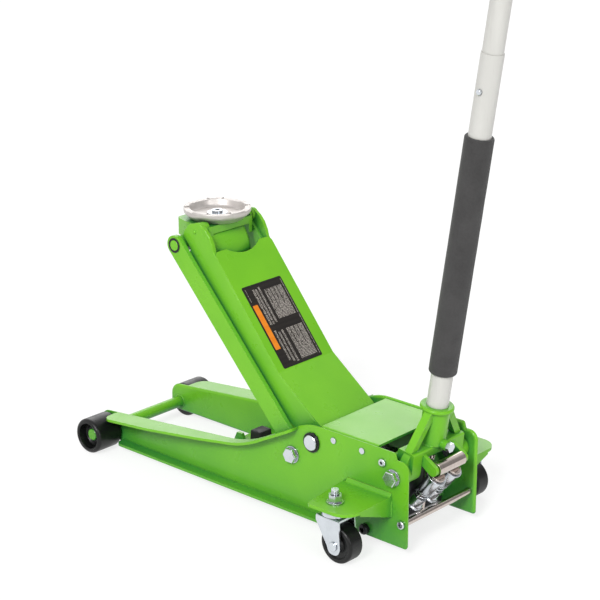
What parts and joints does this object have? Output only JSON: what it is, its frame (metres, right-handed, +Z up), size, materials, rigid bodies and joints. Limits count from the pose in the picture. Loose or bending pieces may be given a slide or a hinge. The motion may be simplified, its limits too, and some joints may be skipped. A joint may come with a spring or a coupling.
{
  "type": "hydraulic floor jack",
  "caption": "Low-profile hydraulic floor jack: wheeled steel chassis, lift arm with a level round saddle, and a tall pump handle.",
  "frame": {"origin": "on the floor, at the centre of the jack's bounding box in plan", "axes": "+X to the front rollers, +Y to the jack's left, +Z up"},
  "size_m": [0.8511, 0.374, 1.316],
  "materials": {
    "black_nylon": "black moulded nylon",
    "black_oxide": "blackened steel",
    "black_plastic": "black plastic",
    "black_rubber": "matt black rubber",
    "bright_steel": "polished steel",
    "dark_cast": "black painted casting",
    "foam": "soft dark grey foam",
    "green_paint": "glossy powder-coated steel, light green",
    "light_paint": "pale grey painted tube",
    "zinc": "zinc-plated steel"
  },
  "bodies": {
    "chassis": {"side_plate_left": "green_paint", "side_plate_right": "green_paint", "chassis_cover": "green_paint", "cover_rivets": "green_paint", "front_crossmember": "green_paint", "arm_buffer": "black_rubber", "front_axle": "green_paint", "caster_bracket_left": "green_paint", "caster_bracket_right": "green_paint", "caster_kingpins": "zinc", "caster_races": "zinc", "caster_nuts": "zinc", "main_shaft": "zinc", "retaining_rings": "black_oxide", "link_bolts": "zinc", "socket_bolts": "zinc", "tie_rod": "zinc", "stop_rod": "green_paint", "tie_rod_screws": "zinc", "stop_rod_screws": "zinc", "pump_block": "dark_cast", "unit_bolts": "black_oxide", "reservoir": "dark_cast", "ram_cylinder": "dark_cast", "ram_gland": "dark_cast", "pump_barrels": "zinc", "filler_plug": "black_rubber"},
    "front_roller_left": {"front_wheel_left": "black_nylon"},
    "front_roller_right": {"front_wheel_right": "black_nylon"},
    "caster_left": {"caster_fork_left": "zinc", "caster_axle_left": "zinc"},
    "caster_roller_left": {"caster_wheel_left": "black_nylon"},
    "caster_right": {"caster_fork_right": "zinc", "caster_axle_right": "zinc"},
    "caster_roller_right": {"caster_wheel_right": "black_nylon"},
    "arm": {"lift_arm": "green_paint", "arm_cover": "green_paint", "crank_pin": "bright_steel"},
    "left_link": {"link_left": "green_paint"},
    "right_link": {"link_right": "green_paint"},
    "yoke": {"saddle_yoke": "green_paint", "arm_pins": "bright_steel", "link_pins": "green_paint", "link_pin_rings": "black_oxide"},
    "saddle_cup": {"saddle": "zinc", "saddle_screw": "zinc"},
    "ram_rod": {"ram": "bright_steel"},
    "socket": {"handle_socket": "green_paint", "handle_clamp_bolt": "zinc", "pump_roller_pin": "bright_steel"},
    "roller": {"pump_roller": "bright_steel"},
    "plunger_left": {"pump_plunger_left": "bright_steel"},
    "plunger_right": {"pump_plunger_right": "bright_steel"},
    "handle": {"handle_lower_tube": "light_paint", "handle_upper_tube": "light_paint", "handle_grip": "foam", "handle_cap": "black_plastic", "release_yoke": "bright_steel"},
    "button": {"handle_button": "zinc"},
    "valve": {"release_valve": "bright_steel"}
  },
  "joints": [
    {"name": "front_roller_left_spin", "type": "hinge", "parent": "chassis", "child": "front_roller_left", "pos_m": [0.39603, 0.1136, 0.0303], "axis": [0, 1, 0], "continuous": true},
    {"name": "front_roller_right_spin", "type": "hinge", "parent": "chassis", "child": "front_roller_right", "pos_m": [0.39603, -0.1136, 0.0303], "axis": [0, 1, 0], "continuous": true},
    {"name": "caster_left_swivel", "type": "hinge", "parent": "chassis", "child": "caster_left", "pos_m": [-0.17907, 0.1566, 0.08], "axis": [0, 0, 1], "continuous": true},
    {"name": "caster_left_spin", "type": "hinge", "parent": "caster_left", "child": "caster_roller_left", "pos_m": [-0.19307, 0.1566, 0.0301], "axis": [0, 1, 0], "continuous": true},
    {"name": "caster_right_swivel", "type": "hinge", "parent": "chassis", "child": "caster_right", "pos_m": [-0.17907, -0.1566, 0.08], "axis": [0, 0, 1], "continuous": true},
    {"name": "caster_right_spin", "type": "hinge", "parent": "caster_right", "child": "caster_roller_right", "pos_m": [-0.19307, -0.1566, 0.0301], "axis": [0, 1, 0], "continuous": true},
    {"name": "arm_lift", "type": "hinge", "parent": "chassis", "child": "arm", "pos_m": [-0.06907, 0, 0.1344], "axis": [0, -1, 0], "range_deg": [-57, 7.5]},
    {"name": "yoke_level", "type": "hinge", "parent": "arm", "child": "yoke", "pos_m": [0.19428, 0, 0.42179], "axis": [0, -1, 0], "range_deg": [-7.7, 57.2]},
    {"name": "left_link_swing", "type": "hinge", "parent": "chassis", "child": "left_link", "pos_m": [-0.02807, 0.0745, 0.1024], "axis": [0, -1, 0], "range_deg": [-57.2, 7.7]},
    {"name": "right_link_swing", "type": "hinge", "parent": "chassis", "child": "right_link", "pos_m": [-0.02807, -0.0745, 0.1024], "axis": [0, -1, 0], "range_deg": [-57.2, 7.7]},
    {"name": "saddle_spin", "type": "hinge", "parent": "yoke", "child": "saddle_cup", "pos_m": [0.21448, 0, 0.42379], "axis": [0, 0, 1], "continuous": true},
    {"name": "ram_slide", "type": "slide", "parent": "chassis", "child": "ram_rod", "axis": [1, 0, 0], "range_m": [-0.05301, 0.00715]},
    {"name": "pump_handle", "type": "hinge", "parent": "chassis", "child": "socket", "pos_m": [-0.23177, 0, 0.1231], "axis": [0, -1, 0], "range_deg": [0, 55]},
    {"name": "pump_roller_spin", "type": "hinge", "parent": "socket", "child": "roller", "pos_m": [-0.2691, 0, 0.12901], "axis": [0, 1, 0], "continuous": true},
    {"name": "plunger_left_stroke", "type": "slide", "parent": "chassis", "child": "plunger_left", "axis": [-0.6157, 0, 0.788], "range_m": [-0.03311, 0.0002]},
    {"name": "plunger_right_stroke", "type": "slide", "parent": "chassis", "child": "plunger_right", "axis": [-0.6157, 0, 0.788], "range_m": [-0.03311, 0.0002]},
    {"name": "handle_twist", "type": "hinge", "parent": "socket", "child": "handle", "pos_m": [-0.23177, 0, 0.1231], "axis": [-0.1476, 0, 0.989], "range_deg": [0, 90]},
    {"name": "release_valve_turn", "type": "hinge", "parent": "chassis", "child": "valve", "pos_m": [-0.23177, 0, 0.1231], "axis": [-0.1476, 0, 0.989], "range_deg": [-0.2, 90.2]},
    {"name": "button_press", "type": "slide", "parent": "handle", "child": "button", "axis": [0, -1, 0], "range_m": [0, 0.0035], "stiffness_N_per_m": 600}
  ],
  "couplings": [
    {"joint": "yoke_level", "follows": "arm_lift", "ratio": -1},
    {"joint": "left_link_swing", "follows": "arm_lift", "ratio": 1},
    {"joint": "right_link_swing", "follows": "arm_lift", "ratio": 1},
    {"joint": "ram_slide", "follows": "arm_lift", "m_per_rad": 0.053089},
    {"joint": "plunger_left_stroke", "follows": "pump_handle", "m_per_rad": -0.034279},
    {"joint": "plunger_right_stroke", "follows": "pump_handle", "m_per_rad": -0.034279},
    {"joint": "release_valve_turn", "follows": "handle_twist", "ratio": 1}
  ]
}
